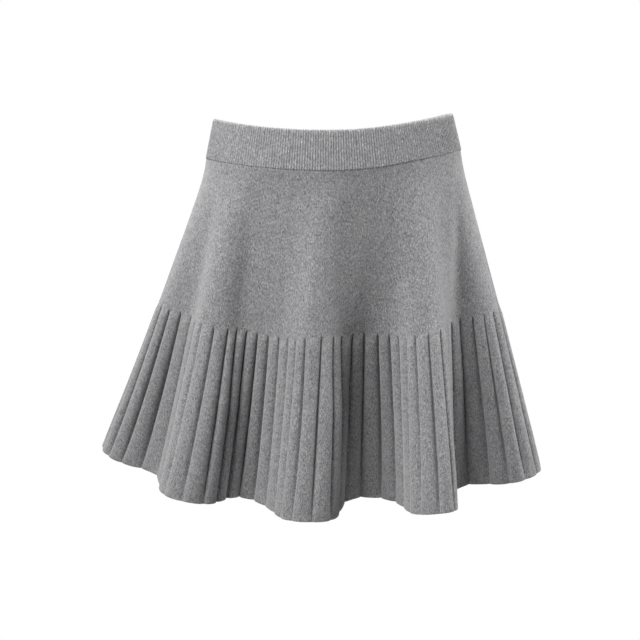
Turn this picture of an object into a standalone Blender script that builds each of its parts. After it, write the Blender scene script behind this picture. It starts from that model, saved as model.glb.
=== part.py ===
"""Pleated knit mini skirt, hollow and filled out as when worn: a ribbed waistband over two flared panels.

Each panel is knitted in one piece, plain above and with rounded pleats below, and the two panels meet at the
side seams. Metres, +Z up, the front faces -Y, and left is -X. The origin is the middle of the waist, level with
the band's top edge at the left side, which is a little lower than at the right.
"""

import math
from collections import namedtuple

import bmesh
import bpy
import numpy as np

NAME = "pleated_knit_mini_skirt"

# Waistband: a rib-knit tube of doubled cloth on an ellipse, measured on its outer face
BAND_TOP_HALF = (0.1250, 0.0712)      # half width and half depth at the top edge
BAND_SEAM_HALF = (0.1340, 0.0785)     # the same at the seam with the panels
BAND_HEIGHT = 0.0398
BAND_THICKNESS = 0.0032
BAND_EDGE_ROUND = 0.0009
DIP_FRONT = 0.0120                    # how far the waist sinks at the middle of the front
DIP_BACK = 0.0160                     # and at the middle of the back
RIGHT_RISE = 0.0026                   # how far the waist's right side rises above its left
RIGHT_NARROWING = 0.0026              # how much lower the band is there
RISE_START = 0.005                    # place across where the waist begins to rise
RIB_COUNT = 254
RIB_RELIEF = 0.00045
BAND_INNER_COLUMNS = 127

# Panels: single cloth, from the waistband seam to the hem
PLEATS_PER_PANEL = 36
CLOTH_THICKNESS = 0.0020
SEAM_TO_HEM = 0.3526                  # length of the cloth down every pleat, without what it gains on the right
SEAM_GAP = 0.0003                     # between pieces that are linked or sewn together
SEAM_STEP = 0.0006                    # how far the panels' face lies inside the band's
LATE_FLARE = 0.06                     # share of the flare that is held back to the lower half
SLOW_START = 0.0165                   # share of the flare that is missing just below the seam
SLOW_LEVEL = 0.10                     # level where that share is missing, and above and below which less is
LATE_FOLDS = 0.80                     # how much later than the width the folds' depth grows
SIDE_SWAY = 0.0022                    # how far the middle of the skirt swings to the right

# Pleats: rounded bulges between narrow grooves, as shares of a pleat's width and of its relief
PLEAT_START = 0.472                   # share of the way from seam to hem where the grooves begin
PLEAT_OPENING = 0.020                 # share of the way over which they reach their full relief
PLEAT_RELIEF = 0.0050
PLEAT_WIDTH = 0.0215                  # at which the relief is as given
PLEAT_PINCH = 0.22                    # relief gained for each unit of width that a pleat has lost
PLEAT_STRETCH = 0.004                 # width gained beyond which a pleat gets no flatter
PLEAT_ROUNDNESS = 0.5                 # below 1 the bulge is full and the groove narrow
GROOVE_SHARE = 0.65                   # share of the relief that lies below the plain face
PLEAT_COLUMNS = (0.0, 0.18, 0.5, 0.82)

BODY_LEVELS = (0.0, 0.08, 0.19, 0.32, 0.457)
PLEAT_LEVELS = (0.479, 0.519, 0.60, 0.735, 0.868, 1.0)
FALL_STEPS = 96                       # steps for adding up the fall along a pleat
ELLIPSE_STEPS = 2880                  # steps for measuring along the waist
CREASE_ANGLE = math.radians(50.0)     # edges sharper than this are shaded as edges

# The hem seen from above, with a row for every second pleat: the folds of the flare, in metres
FoldRow = namedtuple("FoldRow", "place across depth")
HEM_FOLDS = (
    FoldRow("left side seam", -0.264, 0.046),
    FoldRow("left wing", -0.239, 0.017),
    FoldRow("left wing, inner end", -0.199, 0.001),
    FoldRow("left fold, outer wall", -0.184, -0.060),
    FoldRow("left fold, front", -0.140, -0.075),
    FoldRow("left hollow", -0.117, -0.047),
    FoldRow("left hollow, inner wall", -0.0915, -0.0465),
    FoldRow("middle fold, left wall", -0.068, -0.083),
    FoldRow("middle fold, front", -0.049, -0.120),
    FoldRow("middle fold, right shoulder", -0.007, -0.1115),
    FoldRow("middle fold, right wall", 0.0085, -0.049),
    FoldRow("right hollow", 0.0445, -0.040),
    FoldRow("right fold, left wall", 0.067, -0.071),
    FoldRow("right fold, front", 0.081, -0.116),
    FoldRow("right fold, right shoulder", 0.117, -0.122),
    FoldRow("right fold, outer wall", 0.118, -0.064),
    FoldRow("right wing, inner end", 0.1425, -0.020),
    FoldRow("right wing", 0.183, -0.0355),
    FoldRow("right side seam", 0.2165, -0.0195),
    FoldRow("right back turn", 0.223, 0.020),
    FoldRow("right back fold, outer wall", 0.215, 0.062),
    FoldRow("right back fold", 0.186, 0.088),
    FoldRow("right back hollow", 0.152, 0.084),
    FoldRow("middle back fold, right foot", 0.122, 0.092),
    FoldRow("middle back fold, right wall", 0.098, 0.122),
    FoldRow("middle back fold", 0.064, 0.142),
    FoldRow("middle back fold, left shoulder", 0.026, 0.132),
    FoldRow("middle back hollow, right end", -0.002, 0.106),
    FoldRow("middle back hollow", -0.036, 0.096),
    FoldRow("left back fold, right foot", -0.066, 0.114),
    FoldRow("left back fold, right wall", -0.090, 0.144),
    FoldRow("left back fold", -0.128, 0.152),
    FoldRow("left back fold, left wall", -0.158, 0.128),
    FoldRow("left back hollow", -0.186, 0.104),
    FoldRow("left back wing", -0.222, 0.108),
    FoldRow("left back turn", -0.254, 0.086),
)
PLEATS_PER_ROW = 2


def clear_scene():
    for item in list(bpy.data.objects):
        bpy.data.objects.remove(item, do_unlink=True)


def ellipse(turns, half_size):
    """Points on an ellipse at equal steps of its length, from the left side round by the front."""
    angle = np.linspace(0.0, 2.0 * math.pi, ELLIPSE_STEPS + 1)
    across = -half_size[0] * np.cos(angle)
    depth = -half_size[1] * np.sin(angle)
    length = np.concatenate([[0.0], np.cumsum(np.hypot(np.diff(across), np.diff(depth)))])
    wanted = np.interp(turns, length / length[-1], angle)
    return np.stack([-half_size[0] * np.cos(wanted), -half_size[1] * np.sin(wanted)], axis=-1)


def smooth_loop(points, places):
    """A smooth closed curve through the points, read at places counted in points from the first."""
    count = len(points)
    next_one = np.roll(np.eye(count), 1, axis=1)
    pull = 3.0 * (np.roll(points, -1, axis=0) - np.roll(points, 1, axis=0))
    slopes = np.linalg.solve(4.0 * np.eye(count) + next_one + next_one.T, pull)
    first = np.floor(places).astype(int)
    part = (places - first)[:, None]
    start, end = points[first % count], points[(first + 1) % count]
    leave, arrive = slopes[first % count], slopes[(first + 1) % count]
    ease = part * part * (3.0 - 2.0 * part)
    bend = part * (1.0 - part)
    return start + (end - start) * ease + bend * ((1.0 - part) * leave - part * arrive)


def waist_dip(depth, half_depth):
    """How far the waist sinks below the sides, by the place's depth on the ellipse."""
    most = np.where(depth < 0.0, DIP_FRONT, DIP_BACK)
    return most * (depth / half_depth) ** 2


def waist_rise(across):
    """How far the waist rises towards its right side, as a share of the most."""
    way = np.clip((across - RISE_START) / (BAND_TOP_HALF[0] - RISE_START), 0.0, 1.0)
    return way * way * (3.0 - 2.0 * way)


def flare_share(level):
    """Shares of the flare reached at a level, across and in depth, and how fast the two grow there."""
    slow = SLOW_START / SLOW_LEVEL * np.exp(1.0 - level / SLOW_LEVEL)
    across = level + LATE_FLARE * level * (level - 1.0) - slow * level
    across_growth = 1.0 + LATE_FLARE * (2.0 * level - 1.0) - slow * (1.0 - level / SLOW_LEVEL)
    depth = level - LATE_FOLDS * level * (1.0 - level) ** 2
    depth_growth = 1.0 - LATE_FOLDS * (1.0 - level) * (1.0 - 3.0 * level)
    return np.stack([across, depth], axis=-1), np.stack([across_growth, depth_growth], axis=-1)


def plain_skirt(places, levels):
    """The panels' outer face without its pleats. Places count pleats from the left side seam, levels run
    from 0 at the waistband seam to 1 at the hem, and the cloth keeps its length down every pleat."""
    places, levels = np.asarray(places), np.asarray(levels)
    half_size = tuple(half - SEAM_STEP for half in BAND_SEAM_HALF)
    waist = ellipse(places / (2.0 * PLEATS_PER_PANEL), half_size)
    hem_points = np.array([(row.across, row.depth) for row in HEM_FOLDS])
    reach = smooth_loop(hem_points, places / PLEATS_PER_ROW) - waist
    lift = waist_rise(waist[:, 0]) * (RIGHT_RISE + RIGHT_NARROWING)
    top = lift - BAND_HEIGHT - SEAM_GAP - waist_dip(waist[:, 1], half_size[1])

    steps = np.linspace(0.0, 1.0, FALL_STEPS + 1)
    outward = np.linalg.norm(reach[:, None] * flare_share(steps)[1][None], axis=-1)
    rate = np.sqrt((SEAM_TO_HEM + lift[:, None]) ** 2 - outward ** 2)
    fall = np.cumsum((rate[:, 1:] + rate[:, :-1]) / (2.0 * FALL_STEPS), axis=1)
    fall = np.concatenate([np.zeros((len(places), 1)), fall], axis=1)

    points = np.empty((len(levels), len(places), 3))
    for row, level in enumerate(levels):
        points[row, :, :2] = waist + reach * flare_share(level)[0]
        points[row, :, 0] += SIDE_SWAY * 4.0 * level * (1.0 - level)
        points[row, :, 2] = top - np.array([np.interp(level, steps, line) for line in fall])
    return points


def face_normals(points):
    """Outward normals of a closed band of points, given as rows from top to hem."""
    along = np.roll(points, -1, axis=1) - np.roll(points, 1, axis=1)
    down = np.gradient(points, axis=0)
    normals = np.cross(down, along)
    return normals / np.linalg.norm(normals, axis=2, keepdims=True)


def pleat_relief(points, places, levels):
    """How far each point lies outside the plain face: rounded pleats, deeper where they are pinched."""
    step = np.linalg.norm(np.roll(points, -1, axis=1) - points, axis=2)
    beside = np.floor(places).astype(int)
    widths = np.stack([step[:, beside == pleat].sum(axis=1) for pleat in range(2 * PLEATS_PER_PANEL)], axis=1)
    narrowing = PLEAT_WIDTH - (widths + np.roll(widths, 1, axis=1)) / 2.0
    grown = np.clip((np.asarray(levels) - PLEAT_START) / PLEAT_OPENING, 0.0, 1.0)[:, None]
    size = grown * (PLEAT_RELIEF + PLEAT_PINCH * np.maximum(narrowing, -PLEAT_STRETCH) * np.asarray(levels)[:, None])
    bulge = np.abs(np.sin(math.pi * places)) ** PLEAT_ROUNDNESS - GROOVE_SHARE
    return size[:, beside] * bulge[None, :]


def skirt_walls():
    """Outer and inner points of the whole skirt below the band, as rows that close on themselves."""
    places = np.array([pleat + part for pleat in range(2 * PLEATS_PER_PANEL) for part in PLEAT_COLUMNS])
    levels = BODY_LEVELS + PLEAT_LEVELS
    points = plain_skirt(places, levels)
    relief = pleat_relief(points, places, levels)
    outer = points + face_normals(points) * relief[:, :, None]
    inward = face_normals(outer)
    inward[0, :, 2] = 0.0
    inward[0] /= np.linalg.norm(inward[0], axis=1, keepdims=True)
    return outer, outer - inward * CLOTH_THICKNESS


def add_row(mesh, points):
    return [mesh.verts.new(point) for point in points]


def bridge(mesh, first, second, closed=False):
    """Faces between two rows of vertices, as quads when they match and as fans when they do not."""
    if closed:
        first, second = first + first[:1], second + second[:1]
    ends = len(first) - 1, len(second) - 1
    here, there = 0, 0
    while (here, there) != ends:
        if len(first) == len(second):
            mesh.faces.new((first[here], first[here + 1], second[there + 1], second[there]))
            here, there = here + 1, there + 1
        elif there == ends[1] or (here < ends[0] and (here + 1) * ends[1] <= (there + 1) * ends[0]):
            mesh.faces.new((first[here], first[here + 1], second[there]))
            here += 1
        else:
            mesh.faces.new((first[here], second[there + 1], second[there]))
            there += 1


def bridge_all(mesh, rows, closed=False):
    for first, second in zip(rows, rows[1:]):
        bridge(mesh, first, second, closed)


def finish(mesh, name, material, collection):
    bmesh.ops.recalc_face_normals(mesh, faces=mesh.faces)
    data = bpy.data.meshes.new(name)
    mesh.to_mesh(data)
    mesh.free()
    data.materials.append(material)
    data.shade_smooth()
    data.set_sharp_from_angle(angle=CREASE_ANGLE)
    collection.objects.link(bpy.data.objects.new(name, data))


def wool(name, colour, roughness):
    material = bpy.data.materials.new(name)
    material.use_nodes = True
    shader = material.node_tree.nodes["Principled BSDF"]
    shader.inputs["Base Color"].default_value = (*colour, 1.0)
    shader.inputs["Roughness"].default_value = roughness
    shader.inputs["Metallic"].default_value = 0.0
    return material


def part_at_seam(points, columns):
    """One panel's columns, with its two edges drawn back from the side seams by half the gap."""
    panel = points[:, [column % points.shape[1] for column in columns]].copy()
    for edge, way in ((0, 1.0), (-1, -1.0)):
        column = columns[edge]
        along = points[:, (column + 1) % points.shape[1]] - points[:, column % points.shape[1] - 1]
        along /= np.linalg.norm(along, axis=1, keepdims=True)
        panel[:, edge] += way * along * SEAM_GAP / 2.0
    return panel


def make_panel(name, outer, inner, first_pleat, material, collection):
    """One panel as a closed wall: plain rows carry every second column, pleated rows carry all."""
    per_pleat = len(PLEAT_COLUMNS)
    columns = range(first_pleat * per_pleat, (first_pleat + PLEATS_PER_PANEL) * per_pleat + 1)
    mesh = bmesh.new()
    faces = []
    for points in (outer, inner):
        panel = part_at_seam(points, columns)
        rows = [add_row(mesh, row[::2]) for row in panel[:len(BODY_LEVELS)]]
        rows += [add_row(mesh, row) for row in panel[len(BODY_LEVELS):]]
        bridge_all(mesh, rows)
        faces.append(rows)
    outside, inside = faces
    bridge(mesh, outside[0], inside[0])
    bridge(mesh, outside[-1], inside[-1])
    for edge in (0, -1):
        bridge(mesh, [row[edge] for row in outside], [row[edge] for row in inside])
    finish(mesh, name, material, collection)


def band_ring(level, inset, turns):
    """A ring of the waistband: level 0 is its top edge and 1 its seam, inset is measured inwards."""
    half = [top + (seam - top) * level for top, seam in zip(BAND_TOP_HALF, BAND_SEAM_HALF)]
    plan = ellipse(turns, half)
    out = np.stack([plan[:, 0] / half[0] ** 2, plan[:, 1] / half[1] ** 2], axis=1)
    out /= np.linalg.norm(out, axis=1, keepdims=True)
    lift = waist_rise(plan[:, 0]) * (RIGHT_RISE + RIGHT_NARROWING * level)
    height = lift - BAND_HEIGHT * level - waist_dip(plan[:, 1], half[1])
    return np.column_stack([plan - out * np.asarray(inset)[:, None], height])


def make_waistband(material, collection):
    """A tube with upright ribs on its outer face and a plain inner face."""
    turns = np.arange(2 * RIB_COUNT) / (2.0 * RIB_COUNT)
    ribs = np.where(np.arange(2 * RIB_COUNT) % 2 == 0, 0.0, RIB_RELIEF)
    inner_turns = np.arange(BAND_INNER_COLUMNS) / BAND_INNER_COLUMNS
    inner_inset = np.full(BAND_INNER_COLUMNS, BAND_THICKNESS)
    edge_level = BAND_EDGE_ROUND / BAND_HEIGHT
    mesh = bmesh.new()
    outside = [
        add_row(mesh, band_ring(0.0, ribs + BAND_EDGE_ROUND, turns)),
        add_row(mesh, band_ring(edge_level, ribs, turns)),
        add_row(mesh, band_ring(1.0 - edge_level, ribs, turns)),
        add_row(mesh, band_ring(1.0, ribs + BAND_EDGE_ROUND, turns)),
    ]
    inside = [add_row(mesh, band_ring(level, inner_inset, inner_turns)) for level in (1.0, 0.0)]
    bridge_all(mesh, outside + inside + outside[:1], closed=True)
    finish(mesh, "waistband", material, collection)


def main():
    clear_scene()
    collection = bpy.data.collections.new(NAME)
    bpy.context.scene.collection.children.link(collection)
    plain = wool("grey_wool_knit", (0.27, 0.27, 0.275), 0.92)
    rib = wool("grey_wool_rib", (0.24, 0.24, 0.245), 0.92)
    outer, inner = skirt_walls()
    make_waistband(rib, collection)
    make_panel("front_panel", outer, inner, 0, plain, collection)
    make_panel("back_panel", outer, inner, PLEATS_PER_PANEL, plain, collection)


main()
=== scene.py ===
"""Looks of the pleated knit mini skirt: a grey melange rib waistband over two pleated knit panels, hollow and
filled out as when worn, above a plain pale floor. Metres, +Z up, the front faces -Y, and left is -X.
"""

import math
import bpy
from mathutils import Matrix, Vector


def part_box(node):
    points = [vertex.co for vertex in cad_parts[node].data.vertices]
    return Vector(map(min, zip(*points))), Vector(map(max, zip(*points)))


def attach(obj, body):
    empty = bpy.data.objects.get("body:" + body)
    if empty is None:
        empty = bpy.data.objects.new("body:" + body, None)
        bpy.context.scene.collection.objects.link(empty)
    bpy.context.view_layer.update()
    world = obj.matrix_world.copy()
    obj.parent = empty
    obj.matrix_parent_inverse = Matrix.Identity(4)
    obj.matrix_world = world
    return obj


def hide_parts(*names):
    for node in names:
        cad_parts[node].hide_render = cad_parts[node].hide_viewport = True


bl_info = {
    "name": "Pleated knit mini skirt",
    "version": (1, 0, 0),
    "blender": (4, 5, 0),
    "location": "3D View > Sidebar > Knit Skirt",
    "description": "Knits the waistband, panels and seams of a pleated mini skirt over its packed solids",
    "category": "Add Mesh",
}

from collections import namedtuple

import bpy
import numpy as np
from bpy.props import FloatProperty, FloatVectorProperty, IntProperty, PointerProperty
from mathutils import Euler, Matrix, Vector

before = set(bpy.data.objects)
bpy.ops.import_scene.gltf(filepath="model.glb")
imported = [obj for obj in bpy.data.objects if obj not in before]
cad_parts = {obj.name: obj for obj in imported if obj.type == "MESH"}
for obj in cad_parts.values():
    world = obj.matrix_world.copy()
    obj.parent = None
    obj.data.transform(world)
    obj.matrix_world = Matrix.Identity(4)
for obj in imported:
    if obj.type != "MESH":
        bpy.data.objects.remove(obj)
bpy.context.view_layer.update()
BAND_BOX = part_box("waistband")

# The form of the solids, which every piece here keeps
BAND_SEAM_HALF = (BAND_BOX[1].x, BAND_BOX[1].y)  # half width and half depth at the seam with the panels
BAND_TOP_HALF = (0.1250, 0.0712)  # the same at the band's top edge
DIP_FRONT = 0.0120                # how far the waist sinks at the middle of the front
DIP_BACK = 0.0160                 # and at the middle of the back
BAND_HEIGHT = -BAND_BOX[0].z - DIP_BACK
RIGHT_RISE = 0.0026               # how far the waist's right side rises above its left
RIGHT_NARROWING = 0.0026          # how much lower the band is there
RISE_START = 0.005                # place across where the waist begins to rise
BAND_THICKNESS = 0.0032
RIB_COUNT = 254
PLEATS_PER_PANEL = 36
SEAM_TO_HEM = 0.3526              # length of every pleat, without what it gains on the right
SEAM_GAP = 0.0003                 # between pieces that are linked or sewn together
SEAM_STEP = 0.0006                # how far the solids' panels lie inside the band's face
LATE_FLARE = 0.06                 # share of the flare that is held back to the lower half
SLOW_START = 0.0165               # share of the flare that is missing just below the seam
SLOW_LEVEL = 0.10                 # level where that share is missing, and above and below which less is
LATE_FOLDS = 0.80                 # how much later than the width the folds' depth grows
SIDE_SWAY = 0.0022                # how far the middle of the skirt swings to the right
PLEAT_START = 0.472               # share of the way from seam to hem where the grooves begin

# The fine form of the cloth, which the solids don't have. The way is the one from seam to hem.
SEAM_FADE = 0.03                  # share of the way over which the panels' face leaves the band's
GROOVE_OPENING = 0.014            # share of the way over which the grooves open
GROOVE_SPREAD = 0.22              # and over which they sink to their full depth
CROWN_OPENING = 0.030             # and over which the pleats between them round out
THIN_GROOVE = 0.60                # share of their full depth and width that they have when just open
WIDE_GROOVE = 1.45                # share of that width that they have at the hem
HEM_REACH = 0.12                  # share of the way above the hem where grooves and rounding lessen again
HEM_SHALLOWING = 0.55             # share of their depth that both lose at the hem
PLEAT_WIDTH = 0.0215              # width of a pleat at which its grooves have the depth given
PLEAT_PINCH = 0.22                # depth gained for each unit of width that a pleat has lost
PLEAT_STRETCH = 0.004             # width gained beyond which a groove gets no shallower
CROWN_PINCH = PLEAT_PINCH / 3.0   # the same gain for the pleats' rounding
CROWN_FOOT = 0.4                  # share of the rounding that lies below the plain cloth, in the grooves
GROOVE_SHARPNESS = 1.3            # how steeply a groove's walls fall
RIB_ROUNDNESS = 0.8               # how flat the ribs are on top
UNEVEN_START = 0.002              # most that a groove's start is off by chance
UNEVEN_GROOVE = 0.05              # and its depth, as a share
BAND_STITCH_INSET = 0.0004        # how far the waist seam's yarn lies inside the band's face
SIDE_STITCH_INSET = 0.0003        # and the side seams' yarn inside the cloth's face
STITCH_REACH = 0.0007             # how far a stitch slants across its seam
STITCH_SHARE = 0.92               # a stitch's length as a share of the spacing
SMALLEST_STITCH = (0.85, 0.8, 0.9)
LARGEST_STITCH = (1.05, 1.2, 1.15)

# How deep the front's grooves are, as shares, from the left side seam on, and how much lower they start at
# some places. The back's are the same, half a round further on.
GROOVE_SHARES = (0.80, 1.00, 1.10, 1.10, 0.85, 0.90, 0.80, 0.85, 0.95, 1.05, 1.20, 1.20,
                 1.05, 0.90, 0.70, 0.50, 0.80, 1.15, 1.15, 0.90, 1.25, 1.30, 1.25, 1.15,
                 0.70, 0.45, 0.75, 0.85, 0.80, 0.80, 0.85, 0.95, 1.15, 1.20, 0.95, 0.90)
START_PLACES = (0.0, 9.0, 12.0, 15.0, 18.0, 20.0, 23.0, 25.5, 28.0, 35.0, 36.0)
START_SHIFTS = (0.000, 0.003, 0.016, 0.006, -0.002, 0.004, 0.014, 0.021, 0.013, 0.014, 0.000)

# The folds of the hem seen from above, at every second pleat: across and depth, in metres
HEM_FOLDS = {
    "left side seam": (-0.264, 0.046),
    "left wing": (-0.239, 0.017),
    "left wing, inner end": (-0.199, 0.001),
    "left fold, outer wall": (-0.184, -0.060),
    "left fold, front": (-0.140, -0.075),
    "left hollow": (-0.117, -0.047),
    "left hollow, inner wall": (-0.0915, -0.0465),
    "middle fold, left wall": (-0.068, -0.083),
    "middle fold, front": (-0.049, -0.120),
    "middle fold, right shoulder": (-0.007, -0.1115),
    "middle fold, right wall": (0.0085, -0.049),
    "right hollow": (0.0445, -0.040),
    "right fold, left wall": (0.067, -0.071),
    "right fold, front": (0.081, -0.116),
    "right fold, right shoulder": (0.117, -0.122),
    "right fold, outer wall": (0.118, -0.064),
    "right wing, inner end": (0.1425, -0.020),
    "right wing": (0.183, -0.0355),
    "right side seam": (0.2165, -0.0195),
    "right back turn": (0.223, 0.020),
    "right back fold, outer wall": (0.215, 0.062),
    "right back fold": (0.186, 0.088),
    "right back hollow": (0.152, 0.084),
    "middle back fold, right foot": (0.122, 0.092),
    "middle back fold, right wall": (0.098, 0.122),
    "middle back fold": (0.064, 0.142),
    "middle back fold, left shoulder": (0.026, 0.132),
    "middle back hollow, right end": (-0.002, 0.106),
    "middle back hollow": (-0.036, 0.096),
    "left back fold, right foot": (-0.066, 0.114),
    "left back fold, right wall": (-0.090, 0.144),
    "left back fold": (-0.128, 0.152),
    "left back fold, left wall": (-0.158, 0.128),
    "left back hollow": (-0.186, 0.104),
    "left back wing": (-0.222, 0.108),
    "left back turn": (-0.254, 0.086),
}
PLEATS_PER_FOLD_POINT = 2

# Soft creases of the plain cloth: from one place and level to another, in pleats from the left side seam and
# in shares of the way. Width is in pleats, depth in metres, and a trough's depth is below 0.
Crease = namedtuple("Crease", "name top_place top_level foot_place foot_level width depth")
CREASES = (
    Crease("left wing, trough", 4.3, 0.08, 4.0, 0.56, 0.9, -0.0012),
    Crease("left fold, ridge", 7.3, 0.03, 6.7, 0.55, 0.9, 0.0016),
    Crease("left hollow, trough", 9.3, 0.04, 8.7, 0.70, 1.5, -0.0058),
    Crease("left hollow, faint ridge", 12.6, 0.16, 12.4, 0.48, 0.8, 0.0005),
    Crease("middle fold, ridge", 16.4, 0.06, 16.2, 0.68, 0.85, 0.0040),
    Crease("middle fold, fullness", 16.8, 0.06, 16.6, 0.60, 2.6, 0.0012),
    Crease("middle fold, foot", 18.6, 0.08, 18.3, 0.68, 1.25, -0.0050),
    Crease("right hollow, faint ridge", 20.4, 0.14, 20.2, 0.62, 0.9, 0.0022),
    Crease("right hollow, fullness", 22.0, 0.02, 21.9, 0.78, 1.7, 0.0020),
    Crease("right fold, left shoulder", 26.8, 0.12, 26.5, 0.56, 1.4, 0.0008),
    Crease("right fold, ridge", 32.6, 0.03, 28.8, 0.58, 0.9, 0.0030),
    Crease("right wing, trough", 32.5, 0.05, 31.9, 0.66, 0.85, -0.0032),
    Crease("right back hollow, trough", 44.6, 0.12, 44.2, 0.60, 1.3, -0.0022),
    Crease("middle back fold, right foot", 47.0, 0.16, 46.8, 0.58, 1.0, -0.0012),
    Crease("middle back fold, ridge", 50.6, 0.06, 50.2, 0.56, 1.7, 0.0018),
    Crease("middle back hollow, trough", 55.6, 0.08, 55.9, 0.64, 1.4, -0.0028),
    Crease("middle back hollow, faint ridge", 57.8, 0.20, 58.0, 0.46, 0.7, 0.0006),
    Crease("left back fold, ridge", 61.8, 0.05, 62.0, 0.58, 1.5, 0.0019),
    Crease("left back hollow, trough", 66.4, 0.10, 66.2, 0.60, 1.2, -0.0020),
)

# How finely each piece is made
PLEAT_PARTS = (0.0, 0.025, 0.05, 0.085, 0.14, 0.23, 0.36, 0.5, 0.64, 0.77, 0.86, 0.915, 0.95, 0.975)
PLAIN_ROWS = 24
OPENING_ROWS = 26
PLEATED_ROWS = 34
PLAIN_END = 0.009                     # share of the way above the grooves' start where the wide rows end
CLOSE_START = 0.004                   # and where the close rows begin
EDGE_PARTS = (0.0, 0.12, 0.4, 1.0)    # rows of a rounded edge, as shares of its depth
EDGE_MARGIN = 3.0                     # where the rows beyond it begin, in depths of that edge
COLUMNS_PER_RIB = 6
BAND_ROWS = 16
INNER_BAND_ROWS = 7
EDGE_STEPS = 6                        # steps round the band's folded top edge
FALL_STEPS = 96                       # steps for adding up the fall along a pleat
ELLIPSE_STEPS = 2880                  # steps for measuring along the waist
SEAM_STEPS_PER_RIB = 4                # points that the waist seam's line has to a rib
LOOP_STEPS = 5                        # steps along a stitch
YARN_SIDES = 6
UNEVEN_SEED = 7

# Knit gauge: wales are the stitches side by side, courses the rows of stitches
BODY_WALES_PER_PLEAT = 8
PLEAT_WALES = 12
COURSE_HEIGHT = 0.00135
RIB_COURSE_HEIGHT = 0.0015

# The photograph's view
CAMERA_PLACE = (-0.0166, -1.4000, -0.0025)
CAMERA_DROP = math.radians(8.61)      # how far the view looks down
CAMERA_ROLL = 0.014
SENSOR_WIDTH = 36.0
PICTURE_SIDE = 640                    # pixels
FOCAL_PIXELS = 1318                   # focal length in pixels of the picture

# The studio: soft square lights, the place that they face, and a floor that fades out before its rim
KEY_LIGHT_PLACE = (-0.63, -0.73, 1.43)
SIDE_LIGHT_PLACE = (1.53, 0.16, 0.87)
LEFT_BACK_LIGHT_PLACE = (-1.20, 1.35, 0.90)
RIGHT_BACK_LIGHT_PLACE = (0.90, 1.60, 0.70)
LIGHT_AIM = (-0.02, 0.0, -0.22)
LIGHT_SIDE = 1.0
WHITE = (1.0, 1.0, 1.0, 1.0)
FLOOR_DROP = 1.0
FLOOR_RADIUS = 0.9
FLOOR_CORNERS = 96
FLOOR_FADE = (0.40, 0.85)


class KnitSizes(bpy.types.PropertyGroup):
    """Sizes of the knitted cloth that can be changed without leaving the solids' form."""

    wall: FloatProperty(
        name="Cloth thickness", description="Thickness of the single knit of the panels",
        default=0.0017, min=0.0008, max=0.0024, unit="LENGTH")
    pleat_depth: FloatProperty(
        name="Groove depth", description="Depth of the grooves between two pleats of full width",
        default=0.0040, min=0.0, max=0.005, unit="LENGTH")
    groove_width: FloatProperty(
        name="Groove width", description="Half width of a groove, as a share of a pleat",
        default=0.080, min=0.02, max=0.2, subtype="FACTOR")
    crown: FloatProperty(
        name="Pleat crown", description="Height of the gentle rounding of each pleat",
        default=0.0021, min=0.0, max=0.004, unit="LENGTH")
    edge_round: FloatProperty(
        name="Hem rounding", description="Radius of the panels' edge at the hem",
        default=0.0007, min=0.0002, max=0.001, unit="LENGTH")
    link_round: FloatProperty(
        name="Linked edge rounding", description="Radius of the edges that the waist seam links",
        default=0.0003, min=0.0001, max=0.001, unit="LENGTH")
    rib_depth: FloatProperty(
        name="Rib depth", description="Depth of the channels between the waistband's ribs",
        default=0.0008, min=0.0, max=0.0015, unit="LENGTH")
    stitch_spacing: FloatProperty(
        name="Stitch spacing", description="Distance between two linking stitches of a seam",
        default=0.00266, min=0.001, max=0.01, unit="LENGTH")
    yarn_radius: FloatProperty(
        name="Yarn radius", description="Radius of the yarn that links the seams",
        default=0.00044, min=0.0001, max=0.001, unit="LENGTH")
    seed: IntProperty(
        name="Unevenness seed", description="Seed of the small differences between stitches",
        default=3, min=0)


class WoolColours(bpy.types.PropertyGroup):
    """Colours of the melange wool."""

    wool: FloatVectorProperty(
        name="Wool", description="The yarn's middle grey", subtype="COLOR", size=4,
        default=(0.290, 0.289, 0.297, 1.0), min=0.0, max=1.0)
    light_fibre: FloatVectorProperty(
        name="Light fibres", description="The undyed fibres in the yarn", subtype="COLOR", size=4,
        default=(0.52, 0.515, 0.51, 1.0), min=0.0, max=1.0)
    dark_fibre: FloatVectorProperty(
        name="Dark fibres", description="The charcoal fibres in the yarn", subtype="COLOR", size=4,
        default=(0.105, 0.104, 0.112, 1.0), min=0.0, max=1.0)


class StudioSettings(bpy.types.PropertyGroup):
    """Light and floor of the stage."""

    key_power: FloatProperty(
        name="Key light", description="Power of the soft light above the camera's left",
        default=61.0, min=0.0, unit="POWER")
    side_power: FloatProperty(
        name="Side light", description="Power of the soft light on the right",
        default=43.0, min=0.0, unit="POWER")
    back_power: FloatProperty(
        name="Back light", description="Power of each of the two soft lights behind",
        default=21.0, min=0.0, unit="POWER")
    ambient: FloatProperty(
        name="Ambient light", description="Strength of the light from all round", default=0.004, min=0.0)
    floor: FloatVectorProperty(
        name="Floor", description="Colour of the floor", subtype="COLOR", size=4,
        default=(0.86, 0.86, 0.86, 1.0), min=0.0, max=1.0)


# Form of the cloth

def ellipse(turns, half_size):
    """Points on an ellipse at equal steps of its length, from the left side round by the front."""
    angle = np.linspace(0.0, 2.0 * math.pi, ELLIPSE_STEPS + 1)
    across = -half_size[0] * np.cos(angle)
    depth = -half_size[1] * np.sin(angle)
    length = np.concatenate([[0.0], np.cumsum(np.hypot(np.diff(across), np.diff(depth)))])
    wanted = np.interp(turns, length / length[-1], angle)
    return np.stack([-half_size[0] * np.cos(wanted), -half_size[1] * np.sin(wanted)], axis=-1)


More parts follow.
